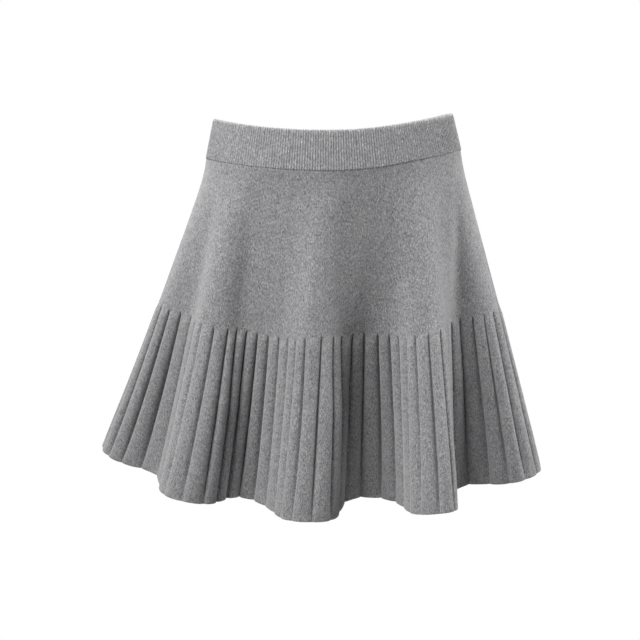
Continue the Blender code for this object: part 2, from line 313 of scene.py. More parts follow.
def smooth_loop(points, places):
    """A smooth closed curve through the points, read at places counted in points from the first."""
    count = len(points)
    next_one = np.roll(np.eye(count), 1, axis=1)
    pull = 3.0 * (np.roll(points, -1, axis=0) - np.roll(points, 1, axis=0))
    slopes = np.linalg.solve(4.0 * np.eye(count) + next_one + next_one.T, pull)
    first = np.floor(places).astype(int)
    part = (places - first)[:, None]
    start, end = points[first % count], points[(first + 1) % count]
    leave, arrive = slopes[first % count], slopes[(first + 1) % count]
    ease = part * part * (3.0 - 2.0 * part)
    bend = part * (1.0 - part)
    return start + (end - start) * ease + bend * ((1.0 - part) * leave - part * arrive)


def waist_dip(depth, half_depth):
    """How far the waist sinks below the sides, by the place's depth on the ellipse."""
    most = np.where(depth < 0.0, DIP_FRONT, DIP_BACK)
    return most * (depth / half_depth) ** 2


def waist_rise(across):
    """How far the waist rises towards its right side, as a share of the most."""
    way = np.clip((across - RISE_START) / (BAND_TOP_HALF[0] - RISE_START), 0.0, 1.0)
    return way * way * (3.0 - 2.0 * way)


def flare_share(level):
    """Shares of the flare reached at a level, across and in depth, and how fast the two grow there."""
    slow = SLOW_START / SLOW_LEVEL * np.exp(1.0 - level / SLOW_LEVEL)
    across = level + LATE_FLARE * level * (level - 1.0) - slow * level
    across_growth = 1.0 + LATE_FLARE * (2.0 * level - 1.0) - slow * (1.0 - level / SLOW_LEVEL)
    depth = level - LATE_FOLDS * level * (1.0 - level) ** 2
    depth_growth = 1.0 - LATE_FOLDS * (1.0 - level) * (1.0 - 3.0 * level)
    return np.stack([across, depth], axis=-1), np.stack([across_growth, depth_growth], axis=-1)


def plain_skirt(places, levels):
    """The panels' outer face without its pleats. Places count pleats from the left side seam, levels run
    from 0 at the waistband seam to 1 at the hem, and the cloth keeps its length down every pleat."""
    half_size = tuple(half - SEAM_STEP for half in BAND_SEAM_HALF)
    waist = ellipse((places / (2.0 * PLEATS_PER_PANEL)) % 1.0, half_size)
    hem_points = np.array(list(HEM_FOLDS.values()))
    reach = smooth_loop(hem_points, places / PLEATS_PER_FOLD_POINT) - waist
    lift = waist_rise(waist[:, 0]) * (RIGHT_RISE + RIGHT_NARROWING)
    top = lift - BAND_HEIGHT - SEAM_GAP - waist_dip(waist[:, 1], half_size[1])

    steps = np.linspace(0.0, 1.0, FALL_STEPS + 1)
    outward = np.linalg.norm(reach[:, None] * flare_share(steps)[1][None], axis=-1)
    rate = np.sqrt((SEAM_TO_HEM + lift[:, None]) ** 2 - outward ** 2)
    fall = np.cumsum((rate[:, 1:] + rate[:, :-1]) / (2.0 * FALL_STEPS), axis=1)
    fall = np.concatenate([np.zeros((len(places), 1)), fall], axis=1)

    points = np.empty((len(levels), len(places), 3))
    points[:, :, :2] = waist[None] + reach[None] * flare_share(levels)[0][:, None]
    points[:, :, 0] += (SIDE_SWAY * 4.0 * levels * (1.0 - levels))[:, None]
    points[:, :, 2] = top[None] - np.stack([np.interp(levels, steps, line) for line in fall], axis=1)
    return points


def across_and_down(points):
    """The two directions of a closed band of cloth: along its rows and down its columns."""
    along = np.roll(points, -1, axis=1) - np.roll(points, 1, axis=1)
    return along, np.gradient(points, axis=0)


def unit(vectors):
    return vectors / np.linalg.norm(vectors, axis=-1, keepdims=True)


def pleat_sizes(points, places, levels, depth, crown):
    """Depth of the grooves, height of the pleats' rounding and the grooves' share of their full width at each
    point. Grooves are deeper where the cloth is pinched, and there are none above their start."""
    random = np.random.default_rng(UNEVEN_SEED)
    pleats = 2 * PLEATS_PER_PANEL
    shift = np.interp(np.arange(PLEATS_PER_PANEL), START_PLACES, START_SHIFTS)
    start = PLEAT_START + np.tile(shift, 2) + random.uniform(-UNEVEN_START, UNEVEN_START, pleats)
    even = np.tile(GROOVE_SHARES, 2) + random.uniform(-UNEVEN_GROOVE, UNEVEN_GROOVE, pleats)
    pleat_right_of = np.floor(places).astype(int) % pleats
    nearest = np.round(places).astype(int) % pleats
    step = np.linalg.norm(np.roll(points, -1, axis=1) - points, axis=2)
    widths = np.stack([step[:, pleat_right_of == pleat].sum(axis=1) for pleat in range(pleats)], axis=1)
    narrowing = PLEAT_WIDTH - (widths + np.roll(widths, 1, axis=1)) / 2.0
    below = levels[:, None] - start[nearest][None]
    pinch = np.maximum(narrowing, -PLEAT_STRETCH)[:, nearest] * levels[:, None]
    sunk = THIN_GROOVE + (1.0 - THIN_GROOVE) * np.clip(below / GROOVE_SPREAD, 0.0, 1.0)
    spread = THIN_GROOVE + (WIDE_GROOVE - THIN_GROOVE) * np.clip(below / (1.0 - PLEAT_START), 0.0, 1.0)
    opened = np.clip(below / GROOVE_OPENING, 0.0, 1.0)
    groove = opened * (depth * even[nearest][None] + PLEAT_PINCH * pinch) * sunk
    near_hem = np.clip(1.0 - (1.0 - levels) / HEM_REACH, 0.0, 1.0)
    kept = 1.0 - HEM_SHALLOWING * (near_hem ** 2)[:, None]
    rounding = np.clip(below / CROWN_OPENING, 0.0, 1.0) * (crown + CROWN_PINCH * pinch)
    return groove * kept, rounding * kept, spread


def crease_rise(places, levels):
    """How far the soft creases lift each point off the plain cloth, or sink it."""
    rise = np.zeros((len(levels), len(places)))
    for crease in CREASES:
        way = (levels - crease.top_level) / (crease.foot_level - crease.top_level)
        line = crease.top_place + (crease.foot_place - crease.top_place) * way
        along = np.sin(math.pi * np.clip(way, 0.0, 1.0))
        across = np.exp(-((places[None] - line[:, None]) / crease.width) ** 2)
        rise += crease.depth * along[:, None] * across
    return rise


def edge_inset(distance, radius):
    """How far a rounded edge draws back from the face at a distance from its end."""
    part = np.clip(1.0 - distance / radius, 0.0, 1.0)
    return radius * (1.0 - np.sqrt(1.0 - part ** 2))


# Meshes and node trees

def grid_mesh(name, points, uvs, closed=False):
    """A mesh of quads over rows of points, facing outwards when rows run down and columns run leftwards to
    right past the front, with the cloth's stitch counts as its UV map."""
    rows, columns = points.shape[:2]
    index = np.arange(rows * columns).reshape(rows, columns)
    right = np.roll(index, -1, axis=1) if closed else index[:, 1:]
    left = index if closed else index[:, :-1]
    quads = np.stack([left[:-1], left[1:], right[1:], right[:-1]], axis=-1).reshape(-1, 4)
    mesh = bpy.data.meshes.new(name)
    mesh.from_pydata(points.reshape(-1, 3).tolist(), [], quads.tolist())
    mesh.polygons.foreach_set("use_smooth", np.ones(len(quads), bool))
    layer = mesh.uv_layers.new(name="stitches")
    corner_uvs = uvs.reshape(-1, 2)[quads.ravel()]
    if closed:
        seam = np.repeat(np.tile(np.arange(columns), rows - 1) == columns - 1, 4)
        past_seam = seam & (np.tile(np.arange(4), len(quads)) >= 2)
        corner_uvs[past_seam, 0] += uvs[0, -1, 0] + uvs[0, 1, 0] - 2.0 * uvs[0, 0, 0]
    layer.data.foreach_set("uv", corner_uvs.astype(np.float32).ravel())
    return mesh


def put_values(mesh, **values):
    """Stores numbers or vectors on a mesh's points, under the names given."""
    for name, numbers in values.items():
        numbers = np.asarray(numbers, np.float32)
        vector = numbers.shape[-1] == 3 and numbers.size == 3 * len(mesh.vertices)
        stored = mesh.attributes.new(name, "FLOAT_VECTOR" if vector else "FLOAT", "POINT")
        stored.data.foreach_set("vector" if vector else "value", numbers.ravel())


def new_tree(kind, name, inputs, outputs):
    """An empty node group with sockets of the names and kinds given, and its own ends of them."""
    tree = bpy.data.node_groups.new(name, kind)
    for way, sockets in (("INPUT", inputs), ("OUTPUT", outputs)):
        for socket, holds in sockets.items():
            tree.interface.new_socket(socket, in_out=way, socket_type="NodeSocket" + holds)
    return tree, tree.nodes.new("NodeGroupInput").outputs, tree.nodes.new("NodeGroupOutput").inputs


def feed(tree, socket, value):
    """Links a socket to another node's output, or gives it a constant."""
    if isinstance(value, bpy.types.NodeSocket):
        tree.links.new(value, socket)
    else:
        socket.default_value = value


def add_node(tree, kind, inputs=None, **settings):
    """A new node with its settings, and with its inputs fed by name or number."""
    made = tree.nodes.new(kind)
    for name, value in settings.items():
        setattr(made, name, value)
    for key, value in (inputs or {}).items():
        feed(tree, made.inputs[key], value)
    return made


def maths(tree, operation, *values):
    return add_node(tree, "ShaderNodeMath", dict(enumerate(values)), operation=operation).outputs[0]


def times(tree, one, other):
    return maths(tree, "MULTIPLY", one, other)


def arch(tree, part):
    """Half a sine wave, from 0 over 1 at a half to 0 at one."""
    return maths(tree, "SINE", times(tree, part, math.pi))


def scaled(tree, vector, factor):
    return add_node(tree, "ShaderNodeVectorMath", {0: vector, "Scale": factor}, operation="SCALE").outputs[0]


def stored_value(tree, name, data_type="FLOAT"):
    return add_node(tree, "GeometryNodeInputNamedAttribute", {"Name": name}, data_type=data_type).outputs[0]


def moved(tree, geometry, offset):
    return add_node(tree, "GeometryNodeSetPosition", {"Geometry": geometry, "Offset": offset}).outputs[0]


def new_object(name, data):
    """An object of its own in the scene."""
    made = bpy.data.objects.new(name, data)
    bpy.context.scene.collection.objects.link(made)
    return made


def end_tree(tree, geometry, material, output):
    """Closes a geometry tree: its instances are made real and take their material."""
    real = add_node(tree, "GeometryNodeRealizeInstances", {"Geometry": geometry}).outputs[0]
    feed(tree, output, add_node(
        tree, "GeometryNodeSetMaterial", {"Geometry": real, "Material": material}).outputs[0])


# Values stored on the cloth's points for the trees to read, which the finished pieces don't keep
TREE_VALUES = ("place", "groove", "rounding", "spread", "rise", "outward", "draw_back", "wall_share", "rib")


def made_by_rule(name, mesh, tree, values, wall=0.0):
    """An object whose geometry tree, and wall if it has one, are worked out and kept as a plain mesh."""
    source = new_object(name + "_source", mesh)
    rule = source.modifiers.new(tree.name, "NODES")
    rule.node_group = tree
    for item in tree.interface.items_tree:
        if item.item_type == "SOCKET" and item.in_out == "INPUT" and item.name in values:
            rule[item.identifier] = values[item.name]
    if wall:
        share = mesh.attributes["wall_share"].data
        weights = np.empty(len(mesh.vertices), np.float32)
        share.foreach_get("value", weights)
        group = source.vertex_groups.new(name="wall")
        for weight in np.unique(weights):
            group.add(np.flatnonzero(weights == weight).tolist(), float(weight), "REPLACE")
        thick = source.modifiers.new("cloth thickness", "SOLIDIFY")
        thick.thickness = wall
        thick.offset = -1.0
        thick.vertex_group = group.name
    graph = bpy.context.evaluated_depsgraph_get()
    kept = bpy.data.meshes.new_from_object(source.evaluated_get(graph), preserve_all_data_layers=True,
                                           depsgraph=graph)
    bpy.data.objects.remove(source, do_unlink=True)
    for attribute in [item.name for item in kept.attributes if item.name in TREE_VALUES]:
        kept.attributes.remove(kept.attributes[attribute])
    kept.name = name
    return new_object(name, kept)


def pleats_tree():
    """Grooves between rounded pleats, cut along the cloth's outward direction."""
    tree, given, out = new_tree("GeometryNodeTree", "knit pleats", {
        "Cloth": "Geometry", "Groove Width": "Float", "Material": "Material"}, {"Cloth": "Geometry"})
    from_groove = maths(tree, "PINGPONG", stored_value(tree, "place"), 0.5)
    width = times(tree, given["Groove Width"], stored_value(tree, "spread"))
    reach = maths(tree, "POWER", maths(tree, "DIVIDE", from_groove, width), GROOVE_SHARPNESS)
    nearness = maths(tree, "EXPONENT", times(tree, reach, -1.0))
    cut = times(tree, times(tree, nearness, -1.0), stored_value(tree, "groove"))
    crown = maths(tree, "SUBTRACT", arch(tree, from_groove), CROWN_FOOT)
    bulge = times(tree, crown, stored_value(tree, "rounding"))
    lift = maths(tree, "ADD", maths(tree, "ADD", cut, bulge), stored_value(tree, "rise"))
    pleated = moved(tree, given["Cloth"], scaled(tree, stored_value(tree, "outward", "FLOAT_VECTOR"), lift))
    normal = add_node(tree, "GeometryNodeInputNormal").outputs[0]
    draw_back = times(tree, stored_value(tree, "draw_back"), -1.0)
    rounded = moved(tree, pleated, scaled(tree, normal, draw_back))
    end_tree(tree, rounded, given["Material"], out["Cloth"])
    return tree


def ribs_tree():
    """Upright one-by-one ribs: rounded wales between narrower channels."""
    tree, given, out = new_tree("GeometryNodeTree", "one by one rib", {
        "Cloth": "Geometry", "Rib Depth": "Float", "Material": "Material"}, {"Cloth": "Geometry"})
    from_channel = maths(tree, "PINGPONG", stored_value(tree, "rib"), 0.5)
    wale = maths(tree, "POWER", arch(tree, from_channel), RIB_ROUNDNESS)
    lift = times(tree, maths(tree, "SUBTRACT", wale, 1.0), given["Rib Depth"])
    ribbed = moved(tree, given["Cloth"], scaled(tree, stored_value(tree, "outward", "FLOAT_VECTOR"), lift))
    end_tree(tree, ribbed, given["Material"], out["Cloth"])
    return tree


def stitches_tree():
    """Short slanting loops of yarn at even steps along a seam, lying on its outward side."""
    tree, given, out = new_tree("GeometryNodeTree", "linking stitches", {
        "Seam": "Geometry", "Spacing": "Float", "Reach": "Float", "Yarn Radius": "Float", "Seed": "Int",
        "Material": "Material"}, {"Stitches": "Geometry"})

    def stitch_end(way):
        return add_node(tree, "ShaderNodeCombineXYZ", {
            "X": times(tree, given["Spacing"], way * STITCH_SHARE / 2.0),
            "Y": times(tree, given["Reach"], way / 2.0)}).outputs[0]

    top = add_node(tree, "ShaderNodeCombineXYZ", {"Z": given["Yarn Radius"]}).outputs[0]
    loop = add_node(tree, "GeometryNodeCurveQuadraticBezier", {
        "Resolution": LOOP_STEPS, "Start": stitch_end(-1.0), "Middle": top,
        "End": stitch_end(1.0)}).outputs[0]
    ring = add_node(tree, "GeometryNodeCurvePrimitiveCircle", {
        "Resolution": YARN_SIDES, "Radius": given["Yarn Radius"]}, mode="RADIUS").outputs[0]
    yarn = add_node(tree, "GeometryNodeCurveToMesh", {
        "Curve": loop, "Profile Curve": ring, "Fill Caps": True}).outputs[0]

    line = add_node(tree, "GeometryNodeMeshToCurve", {"Mesh": given["Seam"]}).outputs[0]
    steps = add_node(tree, "GeometryNodeResampleCurve", {
        "Curve": line, "Length": given["Spacing"]}, mode="LENGTH").outputs[0]
    tangent = add_node(tree, "GeometryNodeInputTangent").outputs[0]
    along = add_node(tree, "FunctionNodeAlignRotationToVector", {"Vector": tangent}, axis="X").outputs[0]
    facing = add_node(tree, "FunctionNodeAlignRotationToVector", {
        "Rotation": along, "Vector": stored_value(tree, "outward", "FLOAT_VECTOR")},
        axis="Z", pivot_axis="X").outputs[0]
    uneven = add_node(tree, "FunctionNodeRandomValue", {
        "Min": SMALLEST_STITCH, "Max": LARGEST_STITCH, "Seed": given["Seed"]}, data_type="FLOAT_VECTOR")
    placed = add_node(tree, "GeometryNodeInstanceOnPoints", {
        "Points": steps, "Instance": yarn, "Rotation": facing, "Scale": uneven.outputs[0]}).outputs[0]
    end_tree(tree, placed, given["Material"], out["Stitches"])
    return tree


# Materials

# Grain of the melange wool: how many blurs to a metre, and how they are stretched over the skirt
SPECKLE_SCALE = 620.0
SPECKLE_STRETCH = (0.86, 0.86, 1.05)
MOTTLE_SCALE = 150.0
PATCH_SCALE = 24.0
STREAK_STRETCH = (0.75, 0.05, 1.0)    # to a wale and a course
STRAND_SCALE = 950.0
STRAND_STRETCH = (1.0, 1.0, 0.4)
STRAND_TURN = (0.8, 0.7, 0.4)
LIGHT_STRANDS = (0.58, 0.70, 0.85)    # strand noise where light fibres begin and are full, and how full
DARK_STRANDS = (0.42, 0.30, 0.70)     # the same for dark fibres
STITCH_SLANT = 0.9                    # how much of a course a stitch's legs rise across half a wale
WALE_RELIEF = 0.55
LEG_RELIEF = 0.7
FIBRE_RELIEF = 0.8


def noise(tree, place, scale, detail=2.0, roughness=0.5):
    """Noise from about 0 to 1 over the place given."""
    return add_node(tree, "ShaderNodeTexNoise", {
        "Vector": place, "Scale": scale, "Detail": detail, "Roughness": roughness}).outputs["Fac"]


def stretched(tree, place, scale, turn=(0.0, 0.0, 0.0)):
    return add_node(tree, "ShaderNodeMapping", {"Vector": place, "Rotation": turn, "Scale": scale}).outputs[0]


def value_range(tree, value, start, end, low, high, **settings):
    """A value between two ends turned into one between two others, and held there beyond them."""
    return add_node(tree, "ShaderNodeMapRange", {
        "Value": value, "From Min": start, "From Max": end, "To Min": low, "To Max": high},
        **settings).outputs[0]


def melange_group():
    """Dyed wool: fine speckle, mottling and broad patches of grey, with single light and dark fibres."""
    tree, given, out = new_tree("ShaderNodeTree", "melange wool", {
        "Place": "Vector", "Stitch": "Vector", "Wool": "Color", "Light Fibres": "Color",
        "Dark Fibres": "Color", "Speckle": "Float", "Mottle": "Float", "Patches": "Float", "Streaks": "Float",
    }, {"Color": "Color", "Fibre": "Float"})
    speckle = noise(tree, stretched(tree, given["Place"], SPECKLE_STRETCH), SPECKLE_SCALE, roughness=0.6)
    grains = {
        "Speckle": speckle,
        "Mottle": noise(tree, given["Place"], MOTTLE_SCALE),
        "Patches": noise(tree, given["Place"], PATCH_SCALE),
        "Streaks": noise(tree, stretched(tree, given["Stitch"], STREAK_STRETCH), 1.0, detail=1.0),
    }
    factor = 1.0
    for grain, value in grains.items():
        swing = maths(tree, "MULTIPLY_ADD", maths(tree, "SUBTRACT", value, 0.5), given[grain], 1.0)
        factor = times(tree, factor, swing)
    colour = scaled(tree, given["Wool"], factor)

    strand_place = stretched(tree, given["Place"], STRAND_STRETCH, STRAND_TURN)
    strands = noise(tree, strand_place, STRAND_SCALE, detail=1.0)
    for fibre, (first, full, most) in (("Light Fibres", LIGHT_STRANDS), ("Dark Fibres", DARK_STRANDS)):
        shown = value_range(tree, strands, first, full, 0.0, most)
        colour = add_node(tree, "ShaderNodeMix", {0: shown, 6: colour, 7: given[fibre]},
                          data_type="RGBA").outputs[2]
    feed(tree, out["Color"], colour)
    feed(tree, out["Fibre"], maths(tree, "MULTIPLY_ADD", strands, 0.5, times(tree, speckle, 0.5)))
    return tree


def knit_group():
    """Relief of plain knit: each stitch is a V of two legs. The UV map counts wales and courses."""
    tree, given, out = new_tree("ShaderNodeTree", "knit stitches", {
        "Stitch": "Vector", "Slant": "Float"}, {"Height": "Float"})
    count = add_node(tree, "ShaderNodeSeparateXYZ", {"Vector": given["Stitch"]}).outputs
    from_edge = maths(tree, "PINGPONG", count["X"], 0.5)
    slanted = maths(tree, "MULTIPLY_ADD", from_edge, given["Slant"], count["Y"])
    leg = times(tree, arch(tree, maths(tree, "PINGPONG", slanted, 0.5)), LEG_RELIEF)
    feed(tree, out["Height"], maths(tree, "MULTIPLY_ADD", arch(tree, from_edge), WALE_RELIEF, leg))
    return tree


def wool_material(name, melange, knit, colours, tone, speckle, mottle, patches, streaks, stitch_relief):
    """Matte brushed wool: melange colour, knit relief, fibre relief and a soft sheen. The wool's grey is
    scaled by the tone given, which on the panels and the band is painted light and shade.
    """
    material = bpy.data.materials.new(name)
    material.use_nodes = True
    tree = material.node_tree
    shader = tree.nodes["Principled BSDF"]
    place = add_node(tree, "ShaderNodeTexCoord").outputs["Object"]
    stitch = add_node(tree, "ShaderNodeUVMap", uv_map="stitches").outputs["UV"]
    # The wool's grey times the tone: on the panels the tone is painted light, on the band painted shade
    wool_grey_and_painted_light = [value * tone for value in colours.wool[:3]] + [1.0]
    wool = add_node(tree, "ShaderNodeGroup", {
        "Place": place, "Stitch": stitch, "Wool": wool_grey_and_painted_light, "Light Fibres": colours.light_fibre,
        "Dark Fibres": colours.dark_fibre, "Speckle": speckle, "Mottle": mottle, "Patches": patches,
        "Streaks": streaks}, node_tree=melange)
    loops = add_node(tree, "ShaderNodeGroup", {"Stitch": stitch, "Slant": STITCH_SLANT}, node_tree=knit)
    fibre = times(tree, wool.outputs["Fibre"], FIBRE_RELIEF)
    relief = maths(tree, "MULTIPLY_ADD", loops.outputs["Height"], stitch_relief, fibre)
    bump = add_node(tree, "ShaderNodeBump", {"Height": relief, "Strength": 0.55, "Distance": 0.0006})
    rough = value_range(tree, wool.outputs["Fibre"], 0.0, 1.0, 0.86, 1.0)
    feed(tree, shader.inputs["Base Color"], wool.outputs["Color"])
    feed(tree, shader.inputs["Roughness"], rough)
    feed(tree, shader.inputs["Normal"], bump.outputs["Normal"])
    shader.inputs["Specular IOR Level"].default_value = 0.12
    shader.inputs["Sheen Weight"].default_value = 0.32
    shader.inputs["Sheen Roughness"].default_value = 0.5
    return material


def melange_material(name, **amounts):
    """A wool material of this skirt, on node groups that are built once."""
    known = bpy.data.node_groups
    melange = known.get("melange wool") or melange_group()
    knit = known.get("knit stitches") or knit_group()
    if name in bpy.data.materials:
        return bpy.data.materials[name]
    return wool_material(name, melange, knit, bpy.context.scene.wool_colours, **amounts)


def panel_wool():
    # Painted light: the tone of 1.07 lightens the panels, in place of the key light falling more strongly on
    # their slope below the band
    return melange_material("brushed wool knit", tone=1.07, speckle=1.26, mottle=0.42, patches=0.16,
                            streaks=0.12, stitch_relief=0.75)


def rib_wool():
    # Painted shade: the tone of 0.93 darkens the band against the panels, in place of the light falling less
    # strongly on it
    return melange_material("wool rib knit", tone=0.93, speckle=1.12, mottle=0.34, patches=0.10,
                            streaks=0.10, stitch_relief=0.3)


def seam_wool():
    return melange_material("linking yarn", tone=0.95, speckle=0.5, mottle=0.2, patches=0.05, streaks=0.0,
                            stitch_relief=0.0)


# Pieces

def panel_levels(sizes):
    """Rows down a panel, closest at its rounded edges and where the grooves open."""
    link = np.array(EDGE_PARTS) * sizes.link_round / SEAM_TO_HEM
    edge = np.array(EDGE_PARTS) * sizes.edge_round / SEAM_TO_HEM
    opening_end = PLEAT_START + max(START_SHIFTS) + CROWN_OPENING
    return np.unique(np.round(np.concatenate([
        link,
        np.linspace(EDGE_MARGIN * edge[-1], PLEAT_START - PLAIN_END, PLAIN_ROWS),
        np.linspace(PLEAT_START - CLOSE_START, opening_end, OPENING_ROWS),
        np.linspace(opening_end, 1.0 - EDGE_MARGIN * edge[-1], PLEATED_ROWS + 1)[1:],
        1.0 - edge[::-1],
    ]), 7))


def skirt_cloth(sizes):
    """Everything that the two panels are cut from: places, levels, points and the values of their rule."""
    places = np.array([pleat + part for pleat in range(2 * PLEATS_PER_PANEL) for part in PLEAT_PARTS])
    levels = panel_levels(sizes)
    points = plain_skirt(places, levels)
    along, down = across_and_down(points)
    groove, rounding, spread = pleat_sizes(points, places, levels, sizes.pleat_depth, sizes.crown)
    wales = np.where(levels < PLEAT_START, BODY_WALES_PER_PLEAT, PLEAT_WALES)
    round_hem = edge_inset((1.0 - levels) * SEAM_TO_HEM, sizes.edge_round)
    round_top = edge_inset(levels * SEAM_TO_HEM, sizes.link_round)
    draw_back = (round_hem + round_top)[:, None] * np.ones(len(places))
    return {
        "points": points,
        "place": np.broadcast_to(places, points.shape[:2]),
        "groove": groove,
        "rounding": rounding,
        "spread": spread,
        "rise": crease_rise(places, levels) + SEAM_STEP * np.exp(-(levels[:, None] / SEAM_FADE) ** 2),
        "outward": unit(np.cross(down, along)),
        "draw_back": draw_back,
        "wall_share": np.round(1.0 - 2.0 * draw_back / sizes.wall, 4),
        "wale": wales[:, None] * places[None],
        "course": (-levels * SEAM_TO_HEM / COURSE_HEIGHT)[:, None] * np.ones(len(places)),
    }


def make_panel(name, cloth, first_pleat, sizes):
    """One panel, cut from the skirt's cloth at its two side seams, with its pleats and its thickness."""
    per_pleat = len(PLEAT_PARTS)
    count = cloth["points"].shape[1]
    columns = np.arange(first_pleat * per_pleat, (first_pleat + PLEATS_PER_PANEL) * per_pleat + 1)
    cut = {key: values[:, columns % count].copy() for key, values in cloth.items()}
    for edge, way in ((0, 1.0), (-1, -1.0)):
        column = columns[edge]
        beside = cloth["points"][:, (column + 1) % count] - cloth["points"][:, (column - 1) % count]
        cut["points"][:, edge] += way * unit(beside) * SEAM_GAP / 2.0
    if columns[-1] == count:
        cut["wale"][:, -1] += cut["wale"][:, -2] - cut["wale"][:, -3]
    uvs = np.stack([cut.pop("wale"), cut.pop("course")], axis=-1)
    mesh = grid_mesh(name, cut.pop("points"), uvs)
    put_values(mesh, **cut)
    tree = bpy.data.node_groups.get("knit pleats") or pleats_tree()
    return made_by_rule(name, mesh, tree, {
        "Groove Width": sizes.groove_width, "Material": panel_wool()}, wall=sizes.wall)


def band_section(foot):
    """The band's section from its seam up the outside, over the fold and down the inside: level and inset."""
    fold = BAND_THICKNESS / 2.0
    rise = [(1.0 - foot / BAND_HEIGHT * share, foot * (1.0 - math.sqrt(1.0 - (1.0 - share) ** 2)))
            for share in EDGE_PARTS]
    top_level = fold / BAND_HEIGHT
    rise += [(level, 0.0) for level in np.linspace(1.0 - 2.0 * foot / BAND_HEIGHT, top_level, BAND_ROWS)]
    for step in range(1, EDGE_STEPS):
        angle = math.pi * step / EDGE_STEPS
        rise.append((top_level - fold * math.sin(angle) / BAND_HEIGHT, fold * (1.0 - math.cos(angle))))
    rise += [(level, BAND_THICKNESS) for level in np.linspace(top_level, 1.0, INNER_BAND_ROWS)]
    return np.array(rise[::-1])


def band_points(levels, insets, turns):
    """Rings of the waistband at each level and inset, and their outward directions."""
    top, seam = np.array(BAND_TOP_HALF), np.array(BAND_SEAM_HALF)
    points = np.empty((len(levels), len(turns), 3))
    outward = np.zeros_like(points)
    for row, (level, inset) in enumerate(zip(levels, insets)):
        half = top + (seam - top) * level
        plan = ellipse(turns, half)
        outward[row, :, :2] = unit(plan / half ** 2)
        points[row, :, :2] = plan - outward[row, :, :2] * inset
        lift = waist_rise(plan[:, 0]) * (RIGHT_RISE + RIGHT_NARROWING * level)
        points[row, :, 2] = lift - BAND_HEIGHT * level - waist_dip(plan[:, 1], half[1])
    return points, outward


def make_waistband(sizes):
    """The doubled rib tube, ribbed outside and in, with a soft folded edge at the top."""
    levels, insets = band_section(sizes.link_round).T
    count = RIB_COUNT * COLUMNS_PER_RIB
    turns = np.arange(count) / count
    points, _ = band_points(levels, insets, turns)
    along, down = across_and_down(points)
    outward = unit(np.cross(along, down))
    section = np.concatenate([[0.0], np.cumsum(np.linalg.norm(np.diff(points[:, 0], axis=0), axis=1))])
    ribs = np.broadcast_to(turns * RIB_COUNT, points.shape[:2])
    courses = np.broadcast_to((section / RIB_COURSE_HEIGHT)[:, None], points.shape[:2])
    uvs = np.stack([ribs, courses], axis=-1)
    mesh = grid_mesh("rib_waistband", points[::-1], uvs[::-1], closed=True)
    put_values(mesh, rib=ribs, outward=outward[::-1])
    tree = bpy.data.node_groups.get("one by one rib") or ribs_tree()
    return made_by_rule("rib_waistband", mesh, tree, {"Rib Depth": sizes.rib_depth, "Material": rib_wool()})


def seam_line(name, points, outward):
    """A line of points for stitches to follow, with the direction that they face."""
    mesh = bpy.data.meshes.new(name)
    mesh.from_pydata(points.tolist(), [(step, step + 1) for step in range(len(points) - 1)], [])
    put_values(mesh, outward=outward)
    return mesh


def side_seam(name, cloth, pleat):
    """The line of a side seam, in the groove that it runs down."""
    column = pleat * len(PLEAT_PARTS)
    outward = cloth["outward"][:, column]
    lift = cloth["rise"] - cloth["groove"] - CROWN_FOOT * cloth["rounding"] - SIDE_STITCH_INSET
    line = cloth["points"][:, column] + outward * lift[:, column, None]
    shown = slice(len(EDGE_PARTS), -len(EDGE_PARTS))
    return seam_line(name, line[shown], outward[shown])


def make_stitches(name, mesh, sizes):
    tree = bpy.data.node_groups.get("linking stitches") or stitches_tree()
    return made_by_rule(name, mesh, tree, {
        "Spacing": sizes.stitch_spacing, "Reach": STITCH_REACH, "Yarn Radius": sizes.yarn_radius,
        "Seed": sizes.seed, "Material": seam_wool()})


class SKIRT_OT_waistband(bpy.types.Operator):
    """Knit the one-by-one rib waistband"""

    bl_idname = "skirt.waistband"
    bl_label = "Rib waistband"

    def execute(self, context):
        band = make_waistband(context.scene.knit_sizes)
        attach(band, "root")
        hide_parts("waistband")
        return {"FINISHED"}


class SKIRT_OT_panels(bpy.types.Operator):
    """Knit the front and back panels with their pleats"""

    bl_idname = "skirt.panels"
    bl_label = "Pleated panels"

    def execute(self, context):
        sizes = context.scene.knit_sizes
        cloth = skirt_cloth(sizes)
        for name, node, first_pleat in (("front_panel_knit", "front_panel", 0),
                                        ("back_panel_knit", "back_panel", PLEATS_PER_PANEL)):
            panel = make_panel(name, cloth, first_pleat, sizes)
            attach(panel, "root")
            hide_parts(node)
        return {"FINISHED"}


class SKIRT_OT_seams(bpy.types.Operator):
    """Link the waistband to the panels and the panels to each other"""

    bl_idname = "skirt.seams"
    bl_label = "Linked seams"

    def execute(self, context):
        sizes = context.scene.knit_sizes
        turns = np.linspace(0.0, 1.0, SEAM_STEPS_PER_RIB * RIB_COUNT + 1)
        points, outward = band_points([1.0], [BAND_STITCH_INSET], turns % 1.0)
        line = points[0] - (0.0, 0.0, SEAM_GAP / 2.0)
        lines = {"waist_seam_stitches": seam_line("waist seam", line, outward[0])}
        cloth = skirt_cloth(sizes)
        lines["left_side_seam_stitches"] = side_seam("left side seam", cloth, 0)
        lines["right_side_seam_stitches"] = side_seam("right side seam", cloth, PLEATS_PER_PANEL)
        for name, mesh in lines.items():
            piece = make_stitches(name, mesh, sizes)
            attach(piece, "root")
        return {"FINISHED"}


class SKIRT_OT_stage(bpy.types.Operator):
    """Set the pale floor, the soft lights and the camera"""

    bl_idname = "skirt.stage"
    bl_label = "Stage"

    def execute(self, context):
        studio = context.scene.studio_settings
        make_floor(studio)
        make_light("key light", KEY_LIGHT_PLACE, studio.key_power)
        make_light("side light", SIDE_LIGHT_PLACE, studio.side_power)
        make_light("left back light", LEFT_BACK_LIGHT_PLACE, studio.back_power)
        make_light("right back light", RIGHT_BACK_LIGHT_PLACE, studio.back_power)
        make_world(studio)
        make_camera()
        context.scene.view_settings.view_transform = "Standard"
        return {"FINISHED"}


